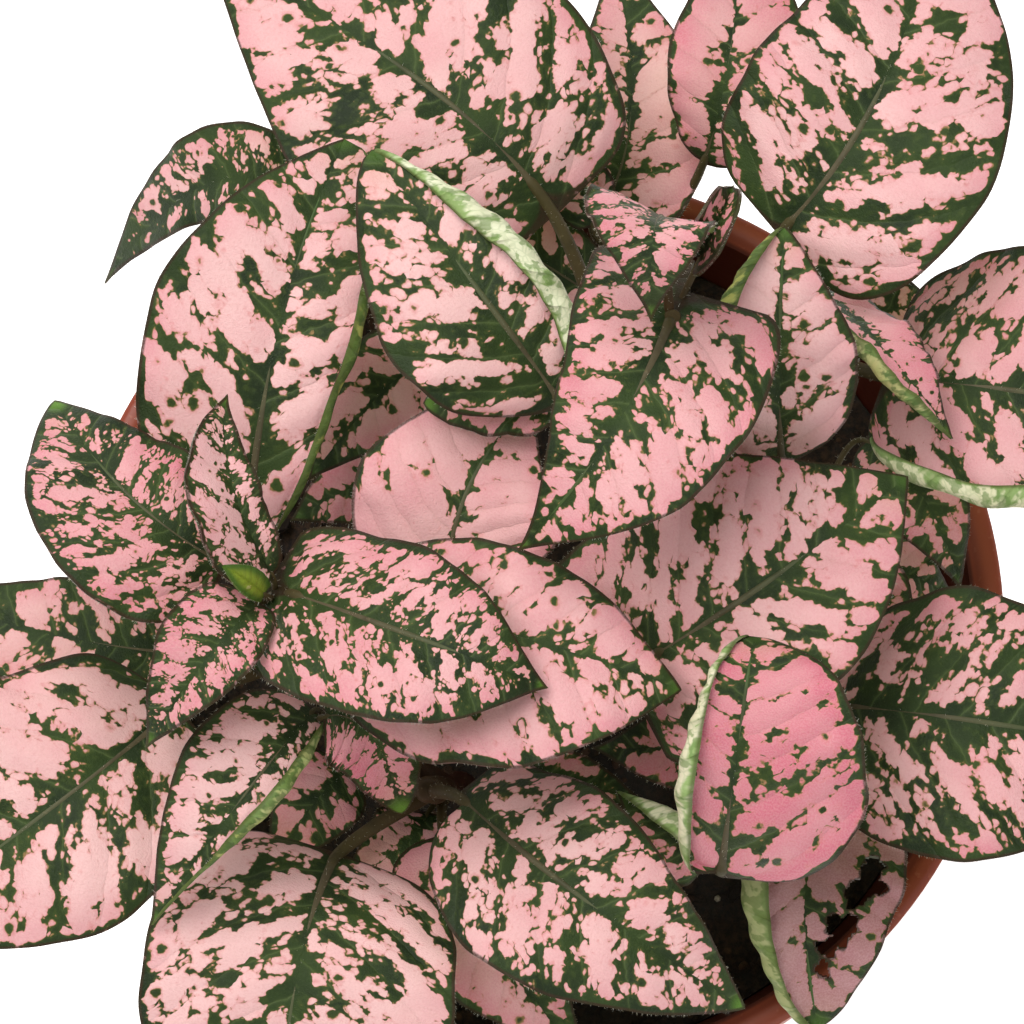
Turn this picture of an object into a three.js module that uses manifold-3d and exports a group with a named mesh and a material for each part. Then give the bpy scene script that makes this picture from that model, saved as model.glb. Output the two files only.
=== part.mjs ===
import * as THREE from 'three';
import { mergeVertices } from 'three/addons/utils/BufferGeometryUtils.js';
import Module from 'manifold-3d';

// A polka dot plant in a four inch nursery pot. Millimetres, Z up, origin at the middle of the pot's base.
// Stems and leaves are given from the middle of the rim, so a third number of 20 is 20 mm above the rim.

const wasm = await Module();
wasm.setup();

const potHeight = 90;
const rimRadius = 52;
const lipDrop = 11;
const lipStep = 2.2;
const baseRadius = 36;
const wall = 1.4;
const floorThickness = 2;
const potSides = 44;
const drainHoles = 6;
const drainRadius = 3.2;
const drainRing = 27;
const drainSides = 12;
const baseBevel = 1.5;
const rimRound = 0.8;

const soilDrop = 12;
const soilGap = 0.3;
const soilMound = 2;
const soilBump = 0.9;
const soilRings = 6;
const soilSides = 28;
const holeHeadroom = 10;

const stemRadius = 1.5;
const stemSides = 7;
const stemDepth = 24;
const stemSteps = 8;
const stemStraight = 5;
const stemTrials = 200;
const holeRadius = 2.1;
const petioleRadius = 0.8;
const petioleRange = [0.6, 1.1];
const petioleRise = 0.35;
const petioleSides = 5;
const petioleSteps = 4;
const petioleRoot = 2;

const bladeThickness = 0.6;
const bladeRows = [4, 8];
const rowSpacing = 4.5;
const endCrowding = 0.6;
const rollShares = [0, 1 / 3, 2 / 3, 1];
const waveCount = 3;
const fullWidth = 20;
const weldDistance = 1e-4;

const terracotta = { color: 0xa54b32, roughness: 0.55, metalness: 0 };
const darkSoil = { color: 0x21150d, roughness: 1, metalness: 0 };
const leafPink = { color: 0xe8a9ac, roughness: 0.6, metalness: 0 };

const { clamp, degToRad: rad, lerp, mapLinear } = THREE.MathUtils;
const point = ([x, y, z]) => new THREE.Vector3(x, y, z + potHeight);

// One leaf: its shoot and how high on it the stalk starts, the midrib's base, middle and tip, and the
// half widths left and right of the midrib. In degrees, lean lifts the left half and twist turns the
// tip end, fold lifts both halves, curl bends them, and rollLeft or rollRight turns that margin over,
// from rollStart of the way out. widest is how far along the blade is widest, heel is lower for a
// broader base and nose for a blunter tip, and sweep draws the basal lobes back past the stalk. Each of
// these four may be a pair: for the left half and for the right.
function leaf(shoot, from, base, middle, tip, left, right, shape) {
  const bend = { lean: 0, twist: 0, fold: 10, curl: -22, wave: 0.5 };
  const roll = { rollLeft: 0, rollRight: 0, rollStart: 0.6 };
  const outline = { widest: 0.36, heel: 0.5, nose: 1.1, sweep: 0.12 };
  return { shoot, from, base, middle, tip, left, right, ...bend, ...roll, ...outline, ...shape };
}

const leafyStems = {
  leafy_stem_left: {
    shoots: [[[-20, -3], [-24, -4, 8], [-28, -4, 35]]],
    leaves: [
      leaf(0, 16, [-31, 2.5, 27], [-27.5, 24, 37], [-20.5, 45, 38], 14, 10.4,
        { lean: -8, rollRight: 205, rollStart: 0.72, widest: [0.42, 0.56], nose: [0.9, 0.35] }),
      leaf(0, 33, [-28, -2, 38], [-32, 6.5, 44], [-32.5, 16, 43], 6.5, 3, { lean: -25, fold: 25 }),
      leaf(0, 33, [-29.5, -5.5, 38], [-35, -12.5, 41], [-41, -20, 34], 4.4, 6, { fold: 18 }),
      leaf(0, 29, [-34, 0, 35], [-43.5, 7, 37], [-51.5, 18.5, 29], 11.5, 8,
        { lean: -9, fold: 14, heel: 0.6, nose: 0.8 }),
      leaf(0, 31, [-25, -4.5, 38], [-11, -11, 46], [1, -15, 42], 9.5, 10.5,
        { lean: 4, widest: 0.3, heel: 0.25, sweep: 0.5 }),
      leaf(0, 24, [-17, -4.5, 34], [-1, -9.5, 40], [15, -14.5, 38], 9.4, 15.5,
        { lean: 3, heel: 0.35, nose: 0.9 }),
      leaf(0, 18, [-9.5, -1, 28], [-7, 9, 32], [0, 19, 30], 11.5, 10.5),
      leaf(0, 4, [-40, -13, 14], [-55, -26, 18], [-73, -37, 8], 14.5, 15, { lean: 4 }),
      leaf(0, 0, [-40, -5, 9], [-53, -3, 9], [-69, 2.5, 3], 8, 7),
      leaf(0, 34, [-28.7, -4.6, 40.5], [-30.5, -3.6, 43], [-33, -2.3, 43.5], 1.8, 1.7, { fold: 36, wave: 0 }),
    ],
  },
  leafy_stem_centre: {
    shoots: [[[8, 16], [11, 20, 25], [14, 22, 53]]],
    leaves: [
      leaf(0, 50, [13.5, 21, 53], [7, 8, 56], [-2, -1.5, 47], 12.5, 10.4,
        { lean: -4, widest: [0.26, 0.12], heel: 0.25, sweep: [0.42, 0.95] }),
      leaf(0, 16, [-0.5, 42, 31], [-14, 54, 33], [-36, 70, 24], 17, 17.5,
        { widest: 0.4, heel: 0.3, nose: 0.95, sweep: 0.25 }),
      leaf(0, 26, [2, 17, 38], [-6, 27, 43], [-17.5, 43, 41], 12, 13,
        { rollRight: 275, rollStart: 0.46, widest: [0.45, 0.4], heel: 1, nose: [0.6, 0.7] }),
      leaf(0, 20, [1.5, 17, 35], [-5, 17, 36], [-12, 17, 34.5], 4, 4, { nose: 0.6 }),
      leaf(0, 50, [12.5, 30, 62.5], [11.5, 25.5, 70], [11.5, 19.5, 61], 5.8, 7.5,
        { curl: -10, widest: [0.3, 0.16], heel: 0.4, sweep: [0.6, 0.1] }),
      leaf(0, 48, [17, 28, 55], [18.5, 30, 62], [20, 34, 60], 4, 4, { fold: 40, curl: 40 }),
      leaf(0, 26, [26, 12, 30], [25.5, 22, 40], [26, 34, 43.5], 15.5, 8.5,
        { rollLeft: 215, rollStart: 0.48, heel: 1, nose: 0.8 }),
    ],
  },
  leafy_stem_front_left: {
    shoots: [
      [[-8, -17], [-10, -19, 2], [-12, -21, 14]],
      [[-10, -19, 1], [-17, -16, 10], [-23, -15, 24]],
    ],
    leaves: [
      leaf(0, 12, [-7.5, -23.5, 20], [5.5, -35.5, 28], [22, -45.5, 20], 10, 11.5,
        { heel: [0.35, 0.5], nose: 0.85, sweep: [0.2, 0] }),
      leaf(0, 4, [-10, -26, 9], [-5, -37, 11], [6, -50, 7], 8, 8),
      leaf(0, 8, [-22, -29, 14], [-26, -45, 20], [-29, -68, 5], 17.5, 17,
        { widest: 0.45, heel: 0.35, nose: 0.9 }),
      leaf(1, 22, [-24, -15, 27], [-32, -26, 31], [-41, -37, 22], 5.2, 8,
        { rollLeft: 250, rollStart: 0.5, widest: [0.3, 0.36], nose: [1.4, 1.1], lean: 8 }),
      leaf(1, 22, [-22, -16, 31], [-17.5, -18, 30], [-14.5, -24, 17], 5.5, 5.5, { nose: 0.6 }),
      leaf(0, -4, [-12, -22, 2], [-15, -26, 4], [-22, -29, 0], 5, 5),
      leaf(1, 4, [-21, -18, 6], [-24.5, -22, 8], [-29, -29, 4], 5, 5),
    ],
  },
  leafy_stem_front_right: {
    shoots: [[[17, -22], [18, -24, 6], [18.5, -25, 24]]],
    leaves: [
      leaf(0, 22, [19.5, -31.5, 27], [21, -19.5, 41], [22.5, -9.5, 41], 7.8, 14,
        { rollLeft: 230, rollStart: 0.58, lean: 6, heel: [0.25, 0.5], nose: 0.5, sweep: 0.1 }),
      leaf(0, 20, [21, -24.5, 25], [26, -25.5, 27], [32, -21.5, 25], 5.5, 5),
      leaf(0, 14, [17.5, -30, 19], [14, -27, 21], [8.5, -22, 19], 4.5, 6.5,
        { rollRight: 230, rollStart: 0.15 }),
      leaf(0, 0, [31, -18.5, 6], [29, -32.5, 11], [30.5, -45.5, 5], 10.8, 11,
        { rollRight: 230, rollStart: 0.5, nose: 0.55 }),
      leaf(0, 16, [22, -16, 20], [15, -17.5, 21], [6, -17, 17], 5, 5),
      leaf(0, 6, [-1, -17, 8], [5, -19.5, 9], [12, -21.5, 8], 3, 3),
    ],
  },
  leafy_stem_right: {
    shoots: [
      [[19, -6], [17, -9, 12], [14, -11, 28]],
      [[19, -6, -5], [22, -2, 2], [30, 7, 16]],
    ],
    leaves: [
      leaf(0, 26, [13, -9.5, 33], [25, -2.5, 39], [39, 8.5, 37], 16, 13.5,
        { lean: 3, heel: 0.15, nose: 0.9, sweep: [0.65, 0.4] }),
      leaf(0, 8, [33, -13, 20], [49, -16, 26], [68, -18, 18], 14.5, 15.5,
        { widest: 0.42, heel: 0.4, sweep: 0.2 }),
      leaf(1, 14, [36, 16.5, 18], [42, 9.5, 20], [46, 1, 14], 5, 5),
      leaf(1, 4, [34.5, 5.5, 8], [40.5, 4, 8], [46, 2, 4], 4, 4),
      leaf(1, 12, [32, 3.5, 18], [37, -2, 18], [35, -10, 13], 4, 5),
    ],
  },
  leafy_stem_back_right: {
    shoots: [[[24, 25], [26, 28, 10], [29, 30, 26]]],
    leaves: [
      leaf(0, 24, [27, 36.5, 36], [37, 51, 41], [44, 75, 30], 14, 15.5, { heel: 0.28, sweep: 0.15 }),
      leaf(0, 14, [40, 22, 24], [56, 19, 29], [77, 18, 18], 16, 16.5,
        { rollRight: 240, rollStart: 0.72, heel: 0.35, sweep: 0.2 }),
      leaf(0, 22, [31, 30.5, 28], [37.5, 21.5, 36], [44, 13.5, 33], 5, 6,
        { lean: 28, rollRight: 200, rollStart: 0.5 }),
      leaf(0, 8, [32, 29, 17], [38, 31, 19], [44, 31, 17], 5, 5),
    ],
  },
  leafy_stem_back: {
    shoots: [[[10, 35], [11, 37, 0], [12, 39, 12]]],
    leaves: [
      leaf(0, 4, [18.5, 48, 20], [21, 58, 26], [23, 77, 18], 6.5, 9, { widest: 0.45, heel: 0.6 }),
      leaf(0, 8, [6.5, 42.5, 13], [10.5, 55, 17], [8, 75, 9], 8, 9),
      leaf(0, 11, [6, 40, 22], [4.5, 44.5, 24], [2.5, 50, 23], 3.5, 3.5),
      leaf(0, 8, [6, 33, 18], [-3, 38.5, 19], [-13, 45, 15], 6, 6),
    ],
  },
  leafy_stem_back_left: {
    shoots: [[[-14, 28], [-17, 33, 2], [-21, 38, 16]]],
    leaves: [
      leaf(0, 14, [-27, 43, 22], [-36.5, 44, 22], [-48, 38, 3], 4, 6.5),
      leaf(0, 15, [-22, 44, 19], [-24, 48, 20], [-27, 51, 18], 2.5, 2.5),
      leaf(0, 8, [-11.5, 27, 16], [-17.5, 21.5, 17], [-25, 13.5, 12], 6, 6),
      leaf(0, 0, [-14, 16, 8], [-20.5, 13.5, 8], [-27, 10.5, 5], 4.5, 4.5),
    ],
  },
};

// Closed meshes and their Booleans.

function meshOf(positions, indices) {
  const geometry = new THREE.BufferGeometry();
  geometry.setAttribute('position', new THREE.Float32BufferAttribute(positions, 3));
  geometry.setIndex(indices);
  return geometry;
}

function toSolid(geometry) {
  const plain = geometry.clone();
  plain.deleteAttribute('normal');
  plain.deleteAttribute('uv');
  const merged = mergeVertices(plain, weldDistance);
  const vertProperties = new Float32Array(merged.attributes.position.array);
  const triVerts = new Uint32Array(merged.index.array);
  return new wasm.Manifold(new wasm.Mesh({ numProp: 3, vertProperties, triVerts }));
}

// Where a stalk meets a blade the union can seal a speck of hollow: only the outer body is kept.
function outerBody(solid) {
  return solid.decompose().reduce((outer, body) => (body.volume() > outer.volume() ? body : outer));
}

function toGeometry(solid) {
  const mesh = solid.getMesh();
  const geometry = new THREE.BufferGeometry();
  geometry.setAttribute('position', new THREE.BufferAttribute(mesh.vertProperties, 3));
  geometry.setIndex(new THREE.BufferAttribute(mesh.triVerts, 1));
  geometry.computeVertexNormals();
  return geometry;
}

function named(name, geometry, finish) {
  const mesh = new THREE.Mesh(geometry, new THREE.MeshStandardMaterial(finish));
  mesh.name = name;
  return mesh;
}

// A leaf blade: rows along the midrib, columns across it.

function onSide(value, side) {
  return Array.isArray(value) ? value[side > 0 ? 0 : 1] : value;
}

function halfWidth(row, along, side) {
  const early = Math.log(0.5) / Math.log(onSide(row.widest, side));
  return Math.sin(Math.PI * along ** early) ** lerp(onSide(row.heel, side), onSide(row.nose, side), along);
}

function arc(start, bend, length) {
  const end = start + bend * length;
  return [(Math.sin(end) - Math.sin(start)) / bend, (Math.cos(start) - Math.cos(end)) / bend];
}

// How far out and up a point lies that is some share of the way from midrib to margin, and its slope.
function across(row, out, roll) {
  const flat = Math.min(out, row.rollStart);
  const [outFlat, upFlat] = arc(rad(row.fold), rad(row.curl), flat);
  const slope = rad(row.fold + row.curl * flat);
  const bend = rad(row.curl) + rad(roll) / (1 - row.rollStart);
  const [outRoll, upRoll] = arc(slope, bend, out - flat);
  return [outFlat + outRoll, upFlat + upRoll, slope + bend * (out - flat)];
}

function midrib(row) {
  const [base, middle, tip] = [point(row.base), point(row.middle), point(row.tip)];
  const control = middle.clone().multiplyScalar(2).addScaledVector(base, -0.5).addScaledVector(tip, -0.5);
  return new THREE.QuadraticBezierCurve3(base, control, tip);
}

// Rows stand closer together towards the base and the tip.
function alongAt(i, rows) {
  return lerp(i / rows, 0.5 - 0.5 * Math.cos((Math.PI * i) / rows), endCrowding);
}

function bladeFrame(row, rib, along) {
  const forward = rib.getTangent(along);
  const up = new THREE.Vector3(0, 0, 1).addScaledVector(forward, -forward.z).normalize();
  up.applyAxisAngle(forward, -rad(row.lean + row.twist * (along - 0.5)));
  return { forward, up, left: new THREE.Vector3().crossVectors(up, forward) };
}

function bladePoint(row, rib, along, side, out) {
  const { forward, up, left } = bladeFrame(row, rib, along);
  const half = side > 0 ? row.left : row.right;
  const width = halfWidth(row, along, side);
  const reach = half * width;
  const [sideways, lift, slope] = across(row, out, side > 0 ? row.rollLeft : row.rollRight);
  const ripple = row.wave * width * Math.sin(2 * Math.PI * waveCount * along + side);
  const place = rib.getPoint(along).addScaledVector(left, side * sideways * reach);
  place.addScaledVector(up, lift * reach + ripple * out * out);
  place.addScaledVector(forward, -onSide(row.sweep, side) * half * out * out * (1 - along) ** 3);
  const normal = up.clone().multiplyScalar(Math.cos(slope)).addScaledVector(left, -side * Math.sin(slope));
  return { place, normal };
}

function columns(row) {
  const { rollStart, rollLeft, rollRight } = row;
  const rolled = [rollStart / 2, ...rollShares.map((share) => lerp(rollStart, 1, share))];
  const left = (rollLeft ? rolled : [0.5, 1]).map((out) => [1, out]);
  const right = (rollRight ? rolled : [0.5, 1]).map((out) => [-1, out]);
  return [...right.reverse(), [1, 0], ...left];
}

// Each face has one point at either end of the midrib and a row of points at every step between.
function bladePoints(row, rib, rows, outs, face) {
  const points = [];
  for (let i = 0; i <= rows; i++) {
    const ends = i === 0 || i === rows;
    for (const [side, out] of ends ? [[1, 0]] : outs) {
      const { place, normal } = bladePoint(row, rib, alongAt(i, rows), side, out);
      points.push(place.addScaledVector(normal, (face * bladeThickness) / 2));
    }
  }
  return points;
}

function bladeGeometry(row) {
  const rib = midrib(row);
  const rows = Math.round(clamp(rib.getLength() / rowSpacing, ...bladeRows));
  const outs = columns(row);
  const width = outs.length;
  const points = [1, -1].flatMap((face) => bladePoints(row, rib, rows, outs, face));
  const below = points.length / 2;
  const at = (i, j) => (i === 0 ? 0 : Math.min(1 + (i - 1) * width + j, below - 1));
  const indices = [];
  const both = (a, b, c) => indices.push(a, b, c, below + a, below + c, below + b);
  const rim = (a, b) => indices.push(a, b, below + b, a, below + b, below + a);
  for (let i = 0; i < rows; i++) {
    for (let j = 0; j < width - 1; j++) {
      if (i < rows - 1) both(at(i, j), at(i + 1, j), at(i + 1, j + 1));
      if (i > 0) both(at(i, j), at(i + 1, j + 1), at(i, j + 1));
    }
    rim(at(i + 1, 0), at(i, 0));
    rim(at(i, width - 1), at(i + 1, width - 1));
  }
  return meshOf(points.flatMap((place) => place.toArray()), indices);
}

// Stems and stalks: round sections drawn along curves.

function tube(curve, radius, sides, steps) {
  const section = new THREE.Shape();
  for (let i = 0; i < sides; i++) {
    const turn = (2 * Math.PI * i) / sides;
    const [x, y] = [radius * Math.cos(turn), radius * Math.sin(turn)];
    if (i) section.lineTo(x, y);
    else section.moveTo(x, y);
  }
  section.closePath();
  return new THREE.ExtrudeGeometry(section, { steps, extrudePath: curve, curveSegments: 1 });
}

// A shoot whose first point has no height grows from the soil: it goes straight down there.
function isRooted(points) {
  return points[0].length === 2;
}

function shootCurve(points) {
  if (!isRooted(points)) return new THREE.CatmullRomCurve3(points.map(point));
  const [[x, y], ...above] = points;
  const heights = [-soilDrop - stemDepth, -soilDrop, -soilDrop + stemStraight];
  const below = heights.map((height) => [x, y, height]);
  return new THREE.CatmullRomCurve3([...below, ...above].map(point));
}

function placeAtHeight(curve, height) {
  let best = curve.getPoint(0);
  for (let i = 0; i <= stemTrials; i++) {
    const here = curve.getPoint(i / stemTrials);
    if (Math.abs(here.z - height) < Math.abs(best.z - height)) best = here;
  }
  return best;
}

// A stalk leaves the shoot upward and outward, and ends inside the blade in line with the midrib.
function petioleCurve(row, shoot) {
  const start = placeAtHeight(shoot, row.from + potHeight);
  const rib = midrib(row);
  const base = rib.getPoint(0);
  const handle = start.distanceTo(base) / 3;
  const outward = base.clone().sub(start).normalize();
  outward.z += petioleRise;
  const leaving = start.clone().addScaledVector(outward, handle);
  const arriving = base.clone().addScaledVector(rib.getTangent(0), -handle);
  const path = new THREE.CubicBezierCurve3(start, leaving, arriving, base);
  const end = rib.getPoint(petioleRoot / rib.getLength());
  return new THREE.CatmullRomCurve3([...path.getPoints(petioleSteps - 1), end]);
}

function petioleGeometry(row, shoot) {
  const radius = petioleRadius * clamp((row.left + row.right) / fullWidth, ...petioleRange);
  return tube(petioleCurve(row, shoot), radius, petioleSides, petioleSteps);
}

function leafyStem({ shoots, leaves }) {
  const curves = shoots.map(shootCurve);
  const pieces = curves.map((curve) => toSolid(tube(curve, stemRadius, stemSides, stemSteps)));
  for (const row of leaves) {
    pieces.push(toSolid(petioleGeometry(row, curves[row.shoot])));
    pieces.push(toSolid(bladeGeometry(row)));
  }
  return toGeometry(outerBody(pieces.reduce((whole, piece) => whole.add(piece))));
}

// The pot: a tapered shell with a broad lip and a ring of drain holes in its floor.

function potRadius(height) {
  return mapLinear(height, 0, potHeight, baseRadius, rimRadius - lipStep);
}

function potGeometry() {
  const lipFoot = potHeight - lipDrop;
  const profile = [
    [0, 0],
    [baseRadius - baseBevel, 0],
    [potRadius(baseBevel), baseBevel],
    [potRadius(lipFoot), lipFoot],
    [rimRadius - rimRound, lipFoot + rimRound],
    [rimRadius, potHeight - rimRound],
    [rimRadius - rimRound, potHeight],
    [rimRadius - lipStep, potHeight],
    [potRadius(potHeight) - wall, potHeight - rimRound],
    [potRadius(floorThickness) - wall, floorThickness],
    [0, floorThickness],
  ];
  const turned = new THREE.LatheGeometry(profile.map((corner) => new THREE.Vector2(...corner)), potSides);
  let shell = toSolid(turned.rotateX(Math.PI / 2));
  for (let i = 0; i < drainHoles; i++) {
    const turn = (2 * Math.PI * i) / drainHoles;
    const hole = new THREE.CylinderGeometry(drainRadius, drainRadius, 2 * floorThickness, drainSides);
    hole.rotateX(Math.PI / 2);
    hole.translate(drainRing * Math.cos(turn), drainRing * Math.sin(turn), floorThickness / 2);
    shell = shell.subtract(toSolid(hole));
  }
  return toGeometry(shell);
}

// The soil fills the pot to below the rim, a little mounded and lumpy, with a plain hole for each stem.

function lump(ring, side) {
  return (soilBump / 2) * Math.sin(5 * ring + 2.3 * side * side);
}

function soilBody() {
  const top = potHeight - soilDrop;
  const edge = potRadius(top) - wall - soilGap;
  const foot = floorThickness + soilGap;
  const positions = [0, 0, top + soilMound, 0, 0, foot];
  for (let ring = 1; ring <= soilRings + 1; ring++) {
    const atFoot = ring > soilRings;
    const share = Math.min(ring / soilRings, 1);
    for (let side = 0; side < soilSides; side++) {
      const turn = (2 * Math.PI * side) / soilSides;
      const radius = atFoot ? potRadius(foot) - wall - soilGap : edge * share;
      const crown = soilMound * (1 - share * share) + lump(ring, side) * (share < 1 ? 1 : 0);
      positions.push(radius * Math.cos(turn), radius * Math.sin(turn), atFoot ? foot : top + crown);
    }
  }
  const at = (ring, side) => 2 + (ring - 1) * soilSides + (side % soilSides);
  const indices = [];
  for (let side = 0; side < soilSides; side++) {
    indices.push(0, at(1, side), at(1, side + 1));
    for (let ring = 1; ring <= soilRings; ring++) {
      indices.push(at(ring, side), at(ring + 1, side), at(ring + 1, side + 1));
      indices.push(at(ring, side), at(ring + 1, side + 1), at(ring, side + 1));
    }
    indices.push(1, at(soilRings + 1, side + 1), at(soilRings + 1, side));
  }
  return meshOf(positions, indices);
}

function soilGeometry() {
  let body = toSolid(soilBody());
  const length = stemDepth + soilGap + holeHeadroom;
  const shoots = Object.values(leafyStems).flatMap((stem) => stem.shoots).filter(isRooted);
  for (const [[x, y]] of shoots) {
    const hole = new THREE.CylinderGeometry(holeRadius, holeRadius, length, stemSides);
    hole.rotateX(Math.PI / 2);
    hole.translate(x, y, potHeight - soilDrop + holeHeadroom - length / 2);
    body = body.subtract(toSolid(hole));
  }
  return toGeometry(body);
}

const group = new THREE.Group();
group.add(named('pot', potGeometry(), terracotta));
group.add(named('soil', soilGeometry(), darkSoil));
for (const [name, parts] of Object.entries(leafyStems)) {
  group.add(named(name, leafyStem(parts), leafPink));
}

export default group;
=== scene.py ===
import math

import bpy
import numpy as np
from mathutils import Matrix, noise


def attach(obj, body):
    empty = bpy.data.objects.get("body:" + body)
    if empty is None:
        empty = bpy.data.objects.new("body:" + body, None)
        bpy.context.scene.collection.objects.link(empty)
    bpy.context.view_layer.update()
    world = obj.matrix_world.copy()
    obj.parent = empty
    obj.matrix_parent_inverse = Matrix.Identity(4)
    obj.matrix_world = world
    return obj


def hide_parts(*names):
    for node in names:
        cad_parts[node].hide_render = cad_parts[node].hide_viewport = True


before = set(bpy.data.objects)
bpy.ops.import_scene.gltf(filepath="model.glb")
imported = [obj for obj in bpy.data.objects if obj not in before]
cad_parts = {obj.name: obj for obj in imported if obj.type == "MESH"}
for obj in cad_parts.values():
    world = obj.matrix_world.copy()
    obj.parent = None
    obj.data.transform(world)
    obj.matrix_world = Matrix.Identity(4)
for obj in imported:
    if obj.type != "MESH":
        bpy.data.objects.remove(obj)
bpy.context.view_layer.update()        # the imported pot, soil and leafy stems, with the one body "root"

# A polka dot plant in a nursery pot. Sizes are in millimetres unless a note says otherwise, and
# heights of stems and leaves are above the pot's rim, as they were measured. A material's pattern
# on ownPlace is in metres, and one on a leaf's own map is in millimetres.
mm = 0.001
potHeight = 90.0
chance = np.random.default_rng(417)


# plain tools

def pickOnly(*pieces):
    bpy.ops.object.select_all(action="DESELECT")
    for piece in pieces:
        piece.select_set(True)
    bpy.context.view_layer.objects.active = pieces[0]


def joinAs(name, pieces):
    pickOnly(*pieces)
    bpy.ops.object.join()
    whole = bpy.context.object
    whole.name = whole.data.name = name
    return whole


def shapedGrid(places):
    # a grid primitive with its points moved to places[row, column], in millimetres
    rows, columns = places.shape[0] - 1, places.shape[1] - 1
    bpy.ops.mesh.primitive_grid_add(x_subdivisions=columns, y_subdivisions=rows, size=1)
    sheet = bpy.context.object
    sheet.data.vertices.foreach_set("co", (places * mm).astype(np.float32).ravel())
    return sheet


def storeNumbers(piece, name, values):
    # values for each point of the mesh: one number each, or three
    kind = "FLOAT_VECTOR" if values.ndim == 2 else "FLOAT"
    layer = piece.data.attributes.new(name, kind, "POINT")
    field = "vector" if values.ndim == 2 else "value"
    layer.data.foreach_set(field, values.astype(np.float32).ravel())


def mergeDoubles(piece):
    pickOnly(piece)
    bpy.ops.object.mode_set(mode="EDIT")
    bpy.ops.mesh.select_all(action="SELECT")
    bpy.ops.mesh.remove_doubles(threshold=0.001 * mm)
    bpy.ops.object.mode_set(mode="OBJECT")


def smooth(piece, degrees):
    pickOnly(piece)
    bpy.ops.object.shade_smooth_by_angle(angle=math.radians(degrees))


def unit(vectors):
    return vectors / np.maximum(np.linalg.norm(vectors, axis=-1, keepdims=True), 1e-9)


def lerp(low, high, share):
    return low + (high - low) * share


def ease(value, low, high):
    share = np.clip((value - low) / (high - low), 0.0, 1.0)
    return share * share * (3 - 2 * share)


def walked(line):
    # how far along a line each of its points lies
    return np.concatenate([[0], np.cumsum(np.linalg.norm(np.diff(line, axis=0), axis=1))])


def readAt(where, gone, *lines):
    # each line's values at the distances where, if its points lie at the distances gone
    return [np.stack([np.interp(where, gone, line[:, axis]) for axis in range(3)], -1)
            for line in lines]


# patterns: a Wire is a value that travels through a material's nodes

class Wire:
    def __init__(self, tree, socket):
        self.tree, self.socket = tree, socket

    def maths(self, operation, *others):
        node = self.tree.nodes.new("ShaderNodeMath")
        node.operation = operation
        for slot, value in zip(node.inputs, (self, *others)):
            feed(slot, value)
        return Wire(self.tree, node.outputs[0])

    def __add__(self, other): return self.maths("ADD", other)
    def __sub__(self, other): return self.maths("SUBTRACT", other)
    def __mul__(self, other): return self.maths("MULTIPLY", other)
    def __truediv__(self, other): return self.maths("DIVIDE", other)
    def __abs__(self): return self.maths("ABSOLUTE")


def feed(slot, value):
    if isinstance(value, Wire):
        value.tree.links.new(value.socket, slot)
    else:
        slot.default_value = value


def addNode(tree, kind, output, **inputs):
    node = tree.nodes.new("ShaderNode" + kind)
    for name, value in inputs.items():
        feed(node.inputs[name], value)
    return Wire(tree, node.outputs[output])


def split(value):
    node = value.tree.nodes.new("ShaderNodeSeparateXYZ")
    feed(node.inputs[0], value)
    return [Wire(value.tree, output) for output in node.outputs]


def place(tree, x, y, z):
    return addNode(tree, "CombineXYZ", 0, X=x, Y=y, Z=z)


def stored(tree, name, output="Vector"):
    node = tree.nodes.new("ShaderNodeAttribute")
    node.attribute_name = name
    return Wire(tree, node.outputs[output])


def fade(value, low, high):
    # 0 below low, 1 above high; low may be the larger
    node = value.tree.nodes.new("ShaderNodeMapRange")
    node.interpolation_type = "SMOOTHSTEP"
    for slot, number in zip(("Value", "From Min", "From Max"), (value, low, high)):
        feed(node.inputs[slot], number)
    return Wire(value.tree, node.outputs[0])


def decay(value, width):
    # 1 at 0, and about a third of that after each width
    return (value / -width).maths("EXPONENT")


def ownPlace(tree):
    # the point on the piece, in metres
    return Wire(tree, tree.nodes.new("ShaderNodeTexCoord").outputs["Object"])


def noiseAt(where, scale, detail=2.0, rough=0.5):
    return addNode(where.tree, "TexNoise", 0, Vector=where, Scale=scale, Detail=detail,
                   Roughness=rough)


def cellNode(where, scale, feature):
    node = where.tree.nodes.new("ShaderNodeTexVoronoi")
    node.feature = feature
    feed(node.inputs["Vector"], where)
    feed(node.inputs["Scale"], scale)
    return node


def cellsAt(where, scale):
    # distance to the nearest cell's middle, and a number that is the cell's own
    node = cellNode(where, scale, "F1")
    own = split(Wire(where.tree, node.outputs["Color"]))[0]
    return Wire(where.tree, node.outputs["Distance"]), own


def netAt(where, scale):
    # distance to the nearest line between two cells
    return Wire(where.tree, cellNode(where, scale, "DISTANCE_TO_EDGE").outputs["Distance"])


def colour(text):
    parts = [int(text[at:at + 2], 16) / 255 for at in (0, 2, 4)]
    return (*[((part + 0.055) / 1.055) ** 2.4 if part > 0.04 else part / 12.92 for part in parts], 1.0)


def mix(share, first, second):
    node = share.tree.nodes.new("ShaderNodeMix")
    node.data_type = "RGBA"
    for slot, value in zip((0, 6, 7), (share, first, second)):
        feed(node.inputs[slot], colour(value) if isinstance(value, str) else value)
    return Wire(share.tree, node.outputs[2])


def layered(shade, *layers):
    # colours laid over a first one: how much each covers, and the colour
    for share, tint in layers:
        shade = mix(share, shade, tint)
    return shade


def newMaterial(name):
    material = bpy.data.materials.new(name)
    material.use_nodes = True
    material.node_tree.nodes.clear()
    return material, material.node_tree


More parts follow.
